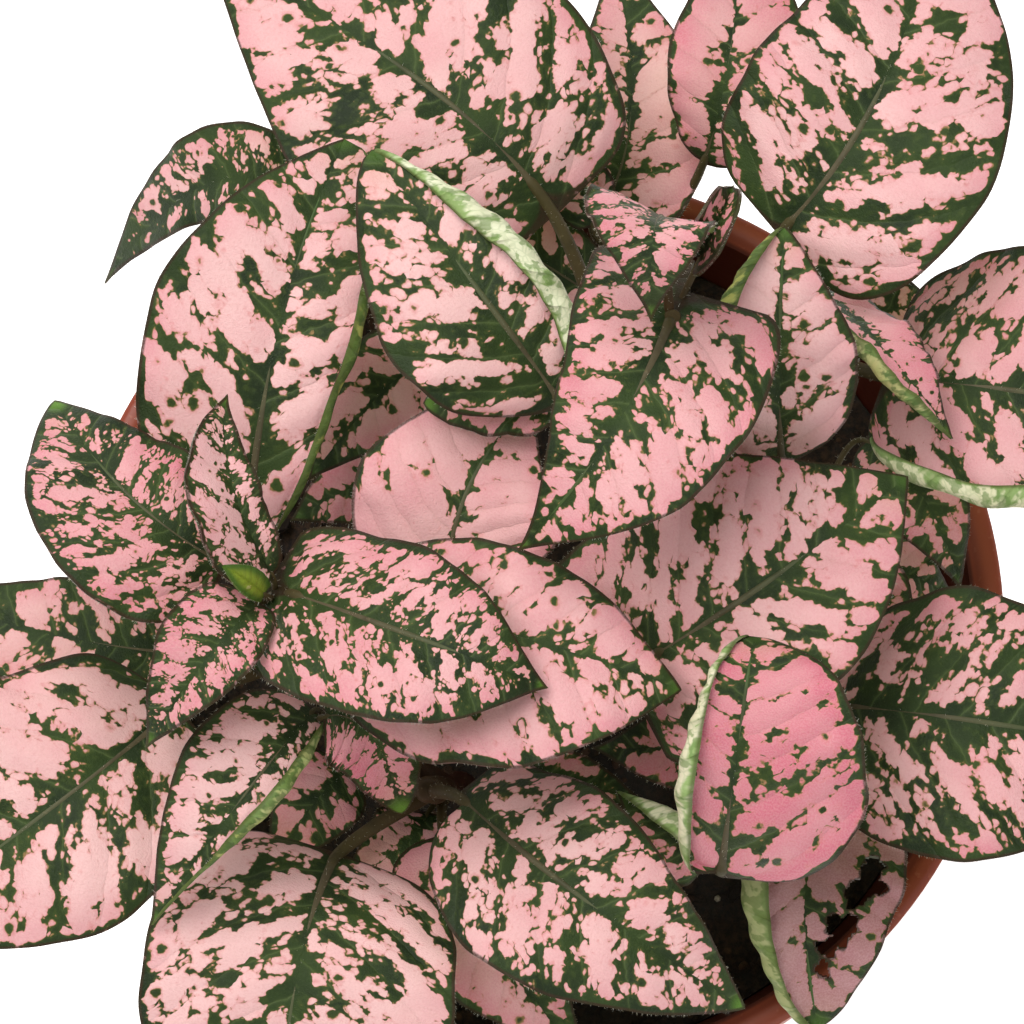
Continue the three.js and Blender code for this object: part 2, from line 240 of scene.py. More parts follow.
def finish(material, baseColour, roughness, height=None, depth=0.0, **settings):
    # height is in millimetres, depth is the bump's strength
    tree = material.node_tree
    shader = tree.nodes.new("ShaderNodeBsdfPrincipled")
    feed(shader.inputs["Base Color"], baseColour)
    feed(shader.inputs["Roughness"], roughness)
    for name, value in settings.items():
        shader.inputs[name].default_value = value
    if height is not None:
        bump = tree.nodes.new("ShaderNodeBump")
        bump.inputs["Strength"].default_value = depth
        bump.inputs["Distance"].default_value = mm
        feed(bump.inputs["Height"], height)
        tree.links.new(bump.outputs[0], shader.inputs["Normal"])
    end = tree.nodes.new("ShaderNodeOutputMaterial")
    tree.links.new(shader.outputs[0], end.inputs[0])
    return material


# camera, light and table

camera = {
    "place": (-0.00266, -0.13347, 0.77715),  # metres
    "tilt": 12.0,                            # degrees from straight down
    "lens": 222.2,
    "sensor": 36.0,
    "nearest": 0.01,                         # metres
}
lights = {
    # place in metres, size in metres, watts, colour
    "mainSoftbox": ((-0.34, 0.30, 1.00), 0.85, 10.2, (1.0, 0.985, 0.965)),
    "frontSoftbox": ((0.45, -0.75, 0.80), 0.90, 3.5, (0.98, 0.99, 1.0)),
}
room = {
    # lengths in metres
    "airColour": (1.0, 0.99, 0.98, 1),
    "airStrength": 0.26,
    "aimHeight": 0.1,  # of the point at which the lights aim
    "tableSize": 6,
    "tableDrop": 0.0002,
    "tableColours": ("fbfbfa", "f7f7f6"),
    "tableGlow": 0.8,
}


def setUpStudio():
    scene = bpy.context.scene
    scene.view_settings.view_transform = "Standard"
    eye = bpy.data.objects.new("camera", bpy.data.cameras.new("camera"))
    scene.collection.objects.link(eye)
    eye.location = camera["place"]
    eye.rotation_euler = (math.radians(camera["tilt"]), 0, 0)
    eye.data.lens = camera["lens"]
    eye.data.sensor_width = camera["sensor"]
    eye.data.clip_start = camera["nearest"]
    scene.camera = eye
    for name, (where, size, watts, tint) in lights.items():
        lamp = bpy.data.objects.new(name, bpy.data.lights.new(name, "AREA"))
        scene.collection.objects.link(lamp)
        lamp.data.size = size
        lamp.data.energy = watts
        lamp.data.color = tint
        lamp.location = where
        toPlant = -np.array(where) + (0, 0, room["aimHeight"])
        lamp.rotation_euler = (math.acos(-toPlant[2] / np.linalg.norm(toPlant)), 0,
                               math.atan2(toPlant[1], toPlant[0]) - math.pi / 2)
    world = bpy.data.worlds.new("studio")
    world.use_nodes = True
    air = world.node_tree.nodes["Background"].inputs
    air["Color"].default_value = room["airColour"]
    air["Strength"].default_value = room["airStrength"]
    scene.world = world

    bpy.ops.mesh.primitive_plane_add(size=room["tableSize"], location=(0, 0, -room["tableDrop"]))
    table = bpy.context.object
    table.name = "table"
    material, tree = newMaterial("whiteTable")
    shade = mix(noiseAt(ownPlace(tree), 40.0), *room["tableColours"])
    finish(material, shade, 0.75,
           **{"Emission Color": (1, 1, 1, 1), "Emission Strength": room["tableGlow"]})
    table.data.materials.append(material)


# pot

pot = {
    "rimRadius": 52.0,
    "lipDrop": 11.0,
    "lipStep": 2.2,
    "baseRadius": 36.0,
    "wall": 1.4,
    "floor": 2.0,
    "sides": 144,
    "drainHoles": 6,
    "drainRadius": 3.2,
    "drainRing": 27.0,
}


def potRadius(height):
    return lerp(pot["baseRadius"], pot["rimRadius"] - pot["lipStep"], height / potHeight)


def potProfile():
    # (radius, height) from the middle of the base, up the outside, over the rim and down inside
    base, rim, wall, floor = (pot[name] for name in ("baseRadius", "rimRadius", "wall", "floor"))
    foot = potHeight - pot["lipDrop"]
    outside = [(0, 0), (base - 1.6, 0), (base - 0.7, 0.25), (base - 0.15, 0.9), (potRadius(2.2), 2.2)]
    outside += [(potRadius(height), height) for height in (20, 40, 60, foot - 0.6)]
    lip = [(potRadius(foot) + 0.25, foot - 0.1), (rim - 1.5, foot + 0.05), (rim - 0.95, foot + 0.3),
           (rim - 0.75, foot + 0.9), (rim - 0.1, potHeight - 1.1), (rim - 0.12, potHeight - 0.45),
           (rim - 0.5, potHeight - 0.08), (rim - 1.0, potHeight), (rim - 1.9, potHeight),
           (rim - 2.5, potHeight - 0.2), (potRadius(potHeight) - wall, potHeight - 1.0)]
    inside = [(potRadius(height) - wall, height) for height in (60, 30, 4.5)]
    corner = [(potRadius(3) - wall - 0.6, floor + 0.6), (potRadius(floor) - wall - 1.6, floor)]
    return outside + lip + inside + corner + [(0, floor)]


def spinProfile(corners, sides):
    # one point drawn out from corner to corner, then spun all the way round
    first = corners[0]
    bpy.ops.mesh.primitive_plane_add(size=mm, location=(0, 0, 0))
    bpy.ops.object.mode_set(mode="EDIT")
    bpy.ops.mesh.merge(type="CENTER")
    bpy.ops.transform.translate(value=(first[0] * mm, 0, first[1] * mm))
    for before, after in zip(corners, corners[1:]):
        step = ((after[0] - before[0]) * mm, 0, (after[1] - before[1]) * mm)
        bpy.ops.mesh.extrude_region_move(TRANSFORM_OT_translate={"value": step})
    bpy.ops.mesh.select_all(action="SELECT")
    bpy.ops.mesh.spin(steps=sides, angle=math.tau, center=(0, 0, 0), axis=(0, 0, 1))
    bpy.ops.mesh.select_all(action="SELECT")
    bpy.ops.mesh.remove_doubles(threshold=1e-5)
    bpy.ops.mesh.normals_make_consistent(inside=False)
    bpy.ops.object.mode_set(mode="OBJECT")
    return bpy.context.object


def cutHoles(body):
    cutters = []
    for number in range(pot["drainHoles"]):
        turn = math.tau * number / pot["drainHoles"]
        ring = pot["drainRing"] * mm
        bpy.ops.mesh.primitive_cylinder_add(
            vertices=40, radius=pot["drainRadius"] * mm, depth=3 * pot["floor"] * mm,
            location=(ring * math.cos(turn), ring * math.sin(turn), pot["floor"] / 2 * mm))
        cutters.append(bpy.context.object)
    cutter = joinAs("cutter", cutters)
    pickOnly(body)
    cut = body.modifiers.new("drainHoles", "BOOLEAN")
    cut.operation = "DIFFERENCE"
    cut.object = cutter
    bpy.ops.object.modifier_apply(modifier=cut.name)
    bpy.data.objects.remove(cutter)


def terracottaPlastic():
    base, rim = pot["baseRadius"], pot["rimRadius"] - pot["lipStep"]
    material, tree = newMaterial("terracottaPlastic")
    where = ownPlace(tree)
    x, y, z = split(where)
    clouds = fade(noiseAt(where, 60.0, 3.0), 0.3, 0.7)
    speckle = noiseAt(where, 900.0)
    rings = noiseAt(place(tree, 0.0, 0.0, z), 1500.0, 1.0)
    dust = fade(noiseAt(where, 130.0, 4.0), 0.56, 0.72) * fade(z, 0.070, 0.0)
    fromAxis = (x * x + y * y).maths("SQRT")
    wallAt = z * ((rim - base) / potHeight) + (base - 0.7) * mm
    # painted shade: the inner wall below the rim is darkened as if the rim's shadow falls on it
    inside = fade(wallAt - fromAxis, 0.0, 0.4 * mm) * fade(z, 0.0, 3 * mm)
    # painted shade: the inner half of the rim's top is darkened towards the inside of the pot
    paintedLipShade = fade(fromAxis, (pot["rimRadius"] - 1.2) * mm, (pot["rimRadius"] - 3.0) * mm)
    paintedLipShade = paintedLipShade * fade(z, (potHeight - 1.2) * mm, (potHeight - 0.2) * mm)
    shade = layered(mix(clouds, "8c3a22", "9e482b"),
                    (fade(speckle, 0.62, 0.72) * 0.35, "b4684a"),
                    (dust * 0.2, "b98a72"),
                    # painted shade: the next two layers darken the inner wall and the inner half of the
                    # rim
                    (inside * 0.9, "4a180c"),
                    (paintedLipShade * 0.5, "5c2010"))
    rough = clouds * 0.12 + 0.40
    height = speckle * 0.05 + rings * 0.05
    return finish(material, shade, rough, height, 0.5, IOR=1.47)


def makePot():
    body = spinProfile(potProfile(), pot["sides"])
    body.name = body.data.name = "nurseryPot"
    cutHoles(body)
    smooth(body, 38)
    body.data.materials.clear()
    body.data.materials.append(terracottaPlastic())
    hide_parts("pot")
    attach(body, "root")
    print("pot made")


# soil

soil = {
    "drop": 12.0,
    "radius": 46.4,
    "foot": 2.3,
    "footRadius": 34.6,
    "mound": 2.0,
    "grid": 150,
    "lumps": ((9.0, 0.9), (3.0, 0.8), (1.3, 0.45)),  # width and rise
    "skirt": 4.0,      # first straight part of its side
    "crumbs": 900,
    "crumbSize": (0.35, 1.5),
    "crumbMargin": 1.5,
}


def soilHeight(x, y):
    share = min(1.0, math.hypot(x, y) / soil["radius"])
    lumps = 0.0
    for size, rise in soil["lumps"]:
        lumps += rise * noise.noise((x / size, y / size, size))
    return potHeight - soil["drop"] + soil["mound"] * (1 - share * share) + lumps - 0.3


def pottingMix():
    material, tree = newMaterial("pottingMix")
    where = ownPlace(tree)
    fine = noiseAt(where, 1400.0, 4.0, 0.65)
    damp = noiseAt(where, 90.0)
    grains, own = cellsAt(where, 700.0)
    shade = layered(mix(fade(fine, 0.35, 0.7), "160d08", "3a2617"),
                    (fade(own, 0.86, 0.95) * fade(grains, 0.45, 0.25) * 0.6, "6b4a30"),
                    (fade(damp, 0.45, 0.7) * 0.5, "0f0805"))
    rough = fade(damp, 0.4, 0.7) * -0.25 + 0.92
    return finish(material, shade, rough, fine * 0.5 - grains * 0.25, 0.9)


def crumbMix():
    material, tree = newMaterial("barkAndGrit")
    own = stored(tree, "ownTone", "Fac")
    fine = noiseAt(ownPlace(tree), 2500.0, 3.0, 0.6)
    shade = layered(mix(fade(own, 0.0, 0.8), "1c110a", "4a3120"),
                    (fade(own, 0.82, 0.9), "7d5b3d"),
                    (fade(own, 0.955, 0.965), "b5aa98"),
                    (fade(fine, 0.35, 0.75) * 0.4, "0f0906"))
    return finish(material, shade, 0.9, fine * 0.3, 0.8)


def scatter(shape, centres, sizes, turns):
    # copies of one small shape, joined in one mesh, with a random tone for each
    points = np.empty(len(shape.data.vertices) * 3, np.float32)
    shape.data.vertices.foreach_get("co", points)
    points = points.reshape(-1, 3)
    faces = [tuple(face.vertices) for face in shape.data.polygons]
    placed = np.einsum("nij,nkj->nki", turns, points[None] * sizes[:, None, :]) + centres[:, None]
    count = len(points)
    mesh = bpy.data.meshes.new("scattered")
    mesh.from_pydata((placed.reshape(-1, 3) * mm).tolist(), [],
                     [tuple(corner + count * number for corner in face)
                      for number in range(len(centres)) for face in faces])
    piece = bpy.data.objects.new("scattered", mesh)
    bpy.context.scene.collection.objects.link(piece)
    storeNumbers(piece, "ownTone", np.repeat(chance.random(len(centres)), count))
    bpy.data.objects.remove(shape)
    return piece


def randomTurns(count):
    # turning matrices from random quaternions
    w, x, y, z = unit(chance.normal(size=(count, 4))).T
    return np.stack([
        np.stack([1 - 2 * (y * y + z * z), 2 * (x * y - w * z), 2 * (x * z + w * y)], -1),
        np.stack([2 * (x * y + w * z), 1 - 2 * (x * x + z * z), 2 * (y * z - w * x)], -1),
        np.stack([2 * (x * z - w * y), 2 * (y * z + w * x), 1 - 2 * (x * x + y * y)], -1)], -2)


def makeSoil():
    steps = np.linspace(-1, 1, soil["grid"] + 1)
    across, along = np.meshgrid(steps, steps)
    x = across * np.sqrt(1 - along ** 2 / 2) * soil["radius"]
    y = along * np.sqrt(1 - across ** 2 / 2) * soil["radius"]
    z = np.vectorize(soilHeight)(x, y)
    bed = shapedGrid(np.stack([x, y, z], -1))
    bed.name = bed.data.name = "soilBed"
    bpy.ops.object.mode_set(mode="EDIT")
    bpy.ops.mesh.select_mode(type="VERT")
    bpy.ops.mesh.select_all(action="DESELECT")
    bpy.ops.mesh.select_non_manifold()
    bpy.ops.mesh.extrude_region_move(TRANSFORM_OT_translate={"value": (0, 0, -soil["skirt"] * mm)})
    bpy.ops.transform.resize(value=(1, 1, 0))
    shrink = soil["footRadius"] / soil["radius"]
    drop = soil["foot"] - (potHeight - soil["drop"]) + soil["skirt"]
    bpy.ops.mesh.extrude_region_move(TRANSFORM_OT_translate={"value": (0, 0, drop * mm)})
    bpy.ops.transform.resize(value=(shrink, shrink, 1))
    bpy.ops.mesh.edge_face_add()
    bpy.ops.mesh.select_all(action="SELECT")
    bpy.ops.mesh.normals_make_consistent(inside=False)
    bpy.ops.object.mode_set(mode="OBJECT")
    smooth(bed, 60)
    bed.data.materials.append(pottingMix())

    bpy.ops.mesh.primitive_ico_sphere_add(subdivisions=1, radius=1)
    crumb = bpy.context.object
    count = soil["crumbs"]
    radius = (soil["radius"] - soil["crumbMargin"]) * np.sqrt(chance.random(count))
    turn = math.tau * chance.random(count)
    centres = np.stack([radius * np.cos(turn), radius * np.sin(turn), np.zeros(count)], -1)
    size = lerp(*soil["crumbSize"], chance.random(count) ** 3)[:, None]
    size = size * chance.uniform(0.6, 1.3, (count, 3))
    for centre in centres:
        centre[2] = soilHeight(centre[0], centre[1])
    centres[:, 2] += 0.25 * size[:, 2]
    crumbs = scatter(crumb, centres, size, randomTurns(count))
    crumbs.name = crumbs.data.name = "soilCrumbs"
    crumbs.data.materials.append(crumbMix())
    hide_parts("soil")
    for piece in (bed, crumbs):
        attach(piece, "root")
    print("soil made")


# leaves: where each grows, its form and its look

def leaf(shoot, start, base, middle, tip, left, right, **own):
    # The shoot it grows on and the height where its stalk leaves; the midrib's base, middle and
    # tip; the half widths left and right of it. A pair of values is for the left and right half.
    # lean, fold, curl and the rolls of the margins are in degrees. rollStart is a share of the way
    # out, widest a share of the way along. The higher heel and nose are, the more the base and tip
    # taper. sweep is how far the base reaches back, wave how high the margin ripples.
    # pink is how much of the leaf is pink, grain how fine its spots are, deep how strong the pink,
    # fresh how much it is a bud, dull how much painted shade darkens a leaf that lies in shadow,
    # pale how cream its underside.
    # bites are holes an insect has eaten: across, forward, radius, and how much longer than wide.
    # seed picks the leaf's own spots and waves.
    form = {"lean": 0, "fold": 10, "curl": -22, "wave": 0.5, "rollLeft": 0, "rollRight": 0,
            "rollStart": 0.6, "widest": 0.36, "heel": 0.5, "nose": 1.1, "sweep": 0.12, "bites": ()}
    look = {"pink": 0.42, "grain": 1.0, "deep": 0.3, "fresh": 0.0, "dull": 0.0, "pale": 0.4}
    return {"shoot": shoot, "start": start, "base": base, "middle": middle, "tip": tip,
            "left": left, "right": right, **form, **look, **own}


leafyStems = {
    "left": {"node": "leafy_stem_left", "shoots": [
        [(-20, -3), (-24, -4, 8), (-28, -4, 35)],
    ], "leaves": [
        leaf(0, 16, (-31, 2.5, 27), (-27.5, 24, 37), (-20.5, 45, 38), 14, 10.4, lean=-8, rollRight=205,
            rollStart=0.72, widest=(0.42, 0.56), nose=(0.9, 0.35), pink=0.43, grain=0.95, deep=0.1,
            pale=-0.25, seed=27.36),
        leaf(0, 33, (-28, -2, 38), (-32, 6.5, 44), (-32.5, 16, 43), 6.5, 3, lean=-25, fold=25,
            pink=0.61, grain=2.6, deep=0, seed=0.78),
        leaf(0, 33, (-29.5, -5.5, 38), (-35, -12.5, 41), (-41, -20, 34), 4.4, 6, fold=18, pink=0.54,
            grain=2.8, deep=0.45, seed=24.09),
        leaf(0, 29, (-34, 0, 35), (-43.5, 7, 37), (-51.5, 18.5, 29), 11.5, 8, lean=-9, fold=14,
            heel=0.6, nose=0.8, pink=0.33, grain=2.1, deep=0.5, seed=38.43),
        leaf(0, 31, (-25, -4.5, 38), (-11, -11, 46), (1, -15, 42), 9.5, 10.5, lean=4, widest=0.3,
            heel=0.25, sweep=0.5, pink=0.38, grain=1.9, deep=0.4, seed=26.68),
        leaf(0, 24, (-17, -4.5, 34), (-1, -9.5, 40), (15, -14.5, 38), 9.4, 15.5, lean=3, heel=0.35,
            nose=0.9, pink=0.62, seed=13.11),
        leaf(0, 18, (-9.5, -1, 28), (-7, 9, 32), (0, 19, 30), 11.5, 10.5, pink=0.8, seed=10.83),
        leaf(0, 4, (-40, -13, 14), (-55, -26, 18), (-73, -37, 8), 14.5, 15, lean=4, grain=0.92,
            deep=0.1, seed=40.42),
        leaf(0, 0, (-40, -5, 9), (-53, -3, 9), (-69, 2.5, 3), 8, 7, pink=0.37, seed=18.49),
        leaf(0, 34, (-28.7, -4.6, 40.5), (-30.5, -3.6, 43), (-33, -2.3, 43.5), 1.8, 1.7, fold=36,
            wave=0, pink=0.3, grain=2, fresh=1, seed=21.65),
    ]},
    "centre": {"node": "leafy_stem_centre", "shoots": [
        [(8, 16), (11, 20, 25), (14, 22, 53)],
    ], "leaves": [
        leaf(0, 50, (13.5, 21, 53), (7, 8, 56), (-2, -1.5, 47), 12.5, 10.4, lean=-4,
            widest=(0.26, 0.12), heel=0.25, sweep=(0.42, 0.95), grain=1.2, deep=0.4, seed=39.43),
        leaf(0, 16, (-0.5, 42, 31), (-14, 54, 33), (-36, 70, 24), 17, 17.5, widest=0.4, heel=0.3,
            nose=0.95, sweep=0.25, pink=0.41, grain=0.92, deep=0.15, seed=21.61),
        leaf(0, 26, (2, 17, 38), (-6, 27, 43), (-17.5, 43, 41), 12, 13, rollRight=275, rollStart=0.46,
            widest=(0.45, 0.4), heel=1, nose=(0.6, 0.7), pink=0.36, deep=0, pale=0.95, seed=1.16),
        leaf(0, 20, (1.5, 17, 35), (-5, 17, 36), (-12, 17, 34.5), 4, 4, nose=0.6, pink=0.5, grain=1.3,
            deep=0.4, seed=51.97),
        leaf(0, 50, (12.5, 30, 62.5), (11.5, 25.5, 70), (11.5, 19.5, 61), 5.8, 7.5, curl=-10,
            widest=(0.3, 0.16), heel=0.4, sweep=(0.6, 0.1), pink=0.48, grain=2.1, deep=0.5, seed=18.22),
        leaf(0, 48, (17, 28, 55), (18.5, 30, 62), (20, 34, 60), 4, 4, fold=40, curl=40, pink=0.5,
            grain=1.6, deep=0.5, seed=20.31),
        leaf(0, 26, (26, 12, 30), (25.5, 22, 40), (26, 34, 43.5), 15.5, 8.5, rollLeft=215,
            rollStart=0.48, heel=1, nose=0.8, pink=0.66, deep=0.05, pale=-0.1, seed=21.5),
    ]},
    "frontLeft": {"node": "leafy_stem_front_left", "shoots": [
        [(-8, -17), (-10, -19, 2), (-12, -21, 14)],
        [(-10, -19, 1), (-17, -16, 10), (-23, -15, 24)],
    ], "leaves": [
        leaf(0, 12, (-7.5, -23.5, 20), (5.5, -35.5, 28), (22, -45.5, 20), 10, 11.5, heel=(0.35, 0.5),
            nose=0.85, sweep=(0.2, 0), pink=0.4, grain=1.3, deep=0.15, seed=54.65),
        leaf(0, 4, (-10, -26, 9), (-5, -37, 11), (6, -50, 7), 8, 8, pink=0.62, deep=0.4, seed=52.62),
        leaf(0, 8, (-22, -29, 14), (-26, -45, 20), (-29, -68, 5), 17.5, 17, widest=0.45, heel=0.35,
            nose=0.9, pink=0.4, deep=0, seed=13.39),
        leaf(1, 22, (-24, -15, 27), (-32, -26, 31), (-41, -37, 22), 5.2, 8, lean=8, rollLeft=250,
            rollStart=0.5, widest=(0.3, 0.36), nose=(1.4, 1.1), pink=0.56, grain=1.7, deep=0, pale=0.15,
            seed=17.43),
        leaf(1, 22, (-22, -16, 31), (-17.5, -18, 30), (-14.5, -24, 17), 5.5, 5.5, nose=0.6, pink=0.56,
            grain=2.5, deep=0.6, seed=6.28),
        leaf(0, -4, (-12, -22, 2), (-15, -26, 4), (-22, -29, 0), 5, 5, pink=0.56, seed=58.88),
        leaf(1, 4, (-21, -18, 6), (-24.5, -22, 8), (-29, -29, 4), 5, 5, pink=0.56, deep=0.5,
            seed=56.58),
    ]},
    "frontRight": {"node": "leafy_stem_front_right", "shoots": [
        [(17, -22), (18, -24, 6), (18.5, -25, 24)],
    ], "leaves": [
        leaf(0, 22, (19.5, -31.5, 27), (21, -19.5, 41), (22.5, -9.5, 41), 7.8, 14, lean=6, rollLeft=230,
            rollStart=0.58, heel=(0.25, 0.5), nose=0.5, sweep=0.1, pink=0.56, grain=0.85, deep=0.85,
            pale=0.9, seed=30.81),
        leaf(0, 20, (21, -24.5, 25), (26, -25.5, 27), (32, -21.5, 25), 5.5, 5, pink=0.5, deep=0.4,
            seed=41.06),
        leaf(0, 14, (17.5, -30, 19), (14, -27, 21), (8.5, -22, 19), 4.5, 6.5, rollRight=230,
            rollStart=0.15, pink=0.5, deep=0.5, pale=1, seed=34.7),
        # this leaf lies in shadow and is darkened with painted shade
        leaf(0, 0, (31, -18.5, 6), (29, -32.5, 11), (30.5, -45.5, 5), 10.8, 11, rollRight=230,
            rollStart=0.5, nose=0.55, pink=0.78, deep=0.35, dull=0.8, pale=0.35,
            bites=((6.9, 12.6, 1.5, 1.3), (7.3, 10.4, 0.9, 1), (5.4, 14.6, 1.1, 1.2),
            (3.9, 18.6, 1.5, 1.1), (2.2, 20.9, 1.0, 1), (1.5, 23.4, 0.6, 1.5)), seed=4.55),
        leaf(0, 16, (22, -16, 20), (15, -17.5, 21), (6, -17, 17), 5, 5, pink=0.56, deep=0.6,
            seed=58.76),
        leaf(0, 6, (-1, -17, 8), (5, -19.5, 9), (12, -21.5, 8), 3, 3, pink=0.45, deep=0.4, seed=46.45),
    ]},
    "right": {"node": "leafy_stem_right", "shoots": [
        [(19, -6), (17, -9, 12), (14, -11, 28)],
        [(19, -6, -5), (22, -2, 2), (30, 7, 16)],
    ], "leaves": [
        leaf(0, 26, (13, -9.5, 33), (25, -2.5, 39), (39, 8.5, 37), 16, 13.5, lean=3, heel=0.15,
            nose=0.9, sweep=(0.65, 0.4), pink=0.45, grain=0.95, seed=45.33),
        leaf(0, 8, (33, -13, 20), (49, -16, 26), (68, -18, 18), 14.5, 15.5, widest=0.42, heel=0.4,
            sweep=0.2, pink=0.27, deep=0.35, seed=56.65),
        leaf(1, 14, (36, 16.5, 18), (42, 9.5, 20), (46, 1, 14), 5, 5, pink=0.6, deep=0.4, seed=21.2),
        leaf(1, 4, (34.5, 5.5, 8), (40.5, 4, 8), (46, 2, 4), 4, 4, pink=0.6, deep=0.4, seed=22.13),
        leaf(1, 12, (32, 3.5, 18), (37, -2, 18), (35, -10, 13), 4, 5, pink=0.6, deep=0.4, seed=44.67),
    ]},
    "backRight": {"node": "leafy_stem_back_right", "shoots": [
        [(24, 25), (26, 28, 10), (29, 30, 26)],
    ], "leaves": [
        leaf(0, 24, (27, 36.5, 36), (37, 51, 41), (44, 75, 30), 14, 15.5, heel=0.28, sweep=0.15,
            pink=0.37, grain=0.9, deep=0.2, seed=19.87),
        leaf(0, 14, (40, 22, 24), (56, 19, 29), (77, 18, 18), 16, 16.5, rollRight=240, rollStart=0.72,
            heel=0.35, sweep=0.2, deep=0.4, pale=0.75, seed=28.41),
        leaf(0, 22, (31, 30.5, 28), (37.5, 21.5, 36), (44, 13.5, 33), 5, 6, lean=28, rollRight=200,
            rollStart=0.5, pink=0.84, grain=2, deep=0.6, pale=0.2, seed=22),
        leaf(0, 8, (32, 29, 17), (38, 31, 19), (44, 31, 17), 5, 5, pink=0.6, deep=0.2, seed=18.59),
    ]},
    "back": {"node": "leafy_stem_back", "shoots": [
        [(10, 35), (11, 37, 0), (12, 39, 12)],
    ], "leaves": [
        leaf(0, 4, (18.5, 48, 20), (21, 58, 26), (23, 77, 18), 6.5, 9, widest=0.45, heel=0.6, pink=0.72,
            deep=0.5, seed=21.84),
        leaf(0, 8, (6.5, 42.5, 13), (10.5, 55, 17), (8, 75, 9), 8, 9, pink=0.5, seed=35.16),
        leaf(0, 11, (6, 40, 22), (4.5, 44.5, 24), (2.5, 50, 23), 3.5, 3.5, pink=0.4, grain=1.4,
            seed=10.97),
        leaf(0, 8, (6, 33, 18), (-3, 38.5, 19), (-13, 45, 15), 6, 6, seed=34.39),
    ]},
    "backLeft": {"node": "leafy_stem_back_left", "shoots": [
        [(-14, 28), (-17, 33, 2), (-21, 38, 16)],
    ], "leaves": [
        leaf(0, 14, (-27, 43, 22), (-36.5, 44, 22), (-48, 38, 3), 4, 6.5, pink=0.31, grain=1.5,
            deep=0.15, seed=7.1),
        leaf(0, 15, (-22, 44, 19), (-24, 48, 20), (-27, 51, 18), 2.5, 2.5, pink=0.4, grain=1.5,
            deep=0.2, seed=55.84),
        leaf(0, 8, (-11.5, 27, 16), (-17.5, 21.5, 17), (-25, 13.5, 12), 6, 6, pink=0.5, seed=29.57),
        leaf(0, 0, (-14, 16, 8), (-20.5, 13.5, 8), (-27, 10.5, 5), 4.5, 4.5, pink=0.6, deep=0.5,
            seed=42.52),
    ]},
}


# midribs, shoots and stalks as curves; heights become heights above the table here

def above(point):
    return np.array(point, float) + (0, 0, potHeight)


def midrib(row, shares):
    base, middle, tip = above(row["base"]), above(row["middle"]), above(row["tip"])
    control = 2 * middle - base / 2 - tip / 2
    share = np.asarray(shares, float)[..., None]
    line = (1 - share) ** 2 * base + 2 * share * (1 - share) * control + share ** 2 * tip
    run = unit(2 * (1 - share) * (control - base) + 2 * share * (tip - control))
    return line, run


def upright(run):
    # straight up, made square to the midrib
    return unit(np.array([0, 0, 1.0]) - run * run[:, 2:])


def midribLength(row):
    line, _ = midrib(row, np.linspace(0, 1, 40))
    return float(np.linalg.norm(np.diff(line, axis=0), axis=1).sum())


stem = {
    "soilTop": -12.0,
    "depth": 24.0,
    "straight": 5.0,
    "radius": (1.75, 1.15),  # at the soil and at the tip
    "joint": (0.32, 1.3),    # how much a leaf's joint swells, and over what height
    "sides": 18,
    "steps": 90,
    "stalkRadius": 0.74,
    "stalkRise": 0.35,
    "stalkSides": 12,
    "stalkTaper": (1.12, 0.82),  # shares of the stalk's radius
    "ribTaper": (0.86, 0.2),
    "ribRun": (0.02, 0.93),      # shares of the way along the leaf
    "ribSunk": 0.42,
}


def shootPoints(points):
    # a shoot whose first point has no height is rooted: it runs straight down into the soil
    if len(points[0]) == 3:
        return [above(point) for point in points]
    heights = (stem["soilTop"] - stem["depth"], stem["soilTop"], stem["soilTop"] + stem["straight"])
    return [above((*points[0], height)) for height in heights] + [above(point) for point in points[1:]]


def smoothLine(points, steps):
    # a centripetal Catmull-Rom curve through the points
    points = [2 * points[0] - points[1], *points, 2 * points[-1] - points[-2]]
    line = []
    spans = len(points) - 3
    for number in np.linspace(0, spans, steps + 1):
        at = min(int(number), spans - 1)
        p0, p1, p2, p3 = points[at:at + 4]
        d0, d1, d2 = (max(math.sqrt(np.linalg.norm(b - a)), 1e-4)
                      for a, b in ((p0, p1), (p1, p2), (p2, p3)))
        run1 = ((p1 - p0) / d0 - (p2 - p0) / (d0 + d1) + (p2 - p1) / d1) * d1
        run2 = ((p2 - p1) / d1 - (p3 - p1) / (d1 + d2) + (p3 - p2) / d2) * d1
        t = number - at
        line.append(p1 * (2 * t ** 3 - 3 * t ** 2 + 1) + p2 * (3 * t ** 2 - 2 * t ** 3)
                    + run1 * (t ** 3 - 2 * t ** 2 + t) + run2 * (t ** 3 - t ** 2))
    return np.array(line)


def stalkLine(row, shoot):
    # from the shoot to the blade's base, leaving upward and outward and arriving along the midrib
    start = shoot[np.abs(shoot[:, 2] - row["start"] - potHeight).argmin()]
    line, run = midrib(row, [0.0])
    base, handle = line[0], np.linalg.norm(line[0] - start) / 3
    leaving = start + (unit(base - start) + (0, 0, stem["stalkRise"])) * handle
    arriving = base - run[0] * handle
    t = np.linspace(0, 1, 19)[:, None]
    return ((1 - t) ** 3 * start + 3 * t * (1 - t) ** 2 * leaving
            + 3 * t ** 2 * (1 - t) * arriving + t ** 3 * base)


def tube(line, radii, sides):
    # rings round the line, closed to a point at both ends
    run = unit(np.gradient(line, axis=0))
    side = unit(np.cross(run[0], (0.3, 0.9, 0.2)))
    rings = []
    turn = np.linspace(0, math.tau, sides + 1)
    for centre, along, radius in zip(line, run, radii):
        side = unit(side - along * (side @ along))
        up = np.cross(along, side)
        rings.append(centre + radius * (np.cos(turn)[:, None] * side + np.sin(turn)[:, None] * up))
    first, last = (np.repeat(end[None], sides + 1, 1) for end in (line[:1], line[-1:]))
    return np.concatenate([first, rings, last])


# blades

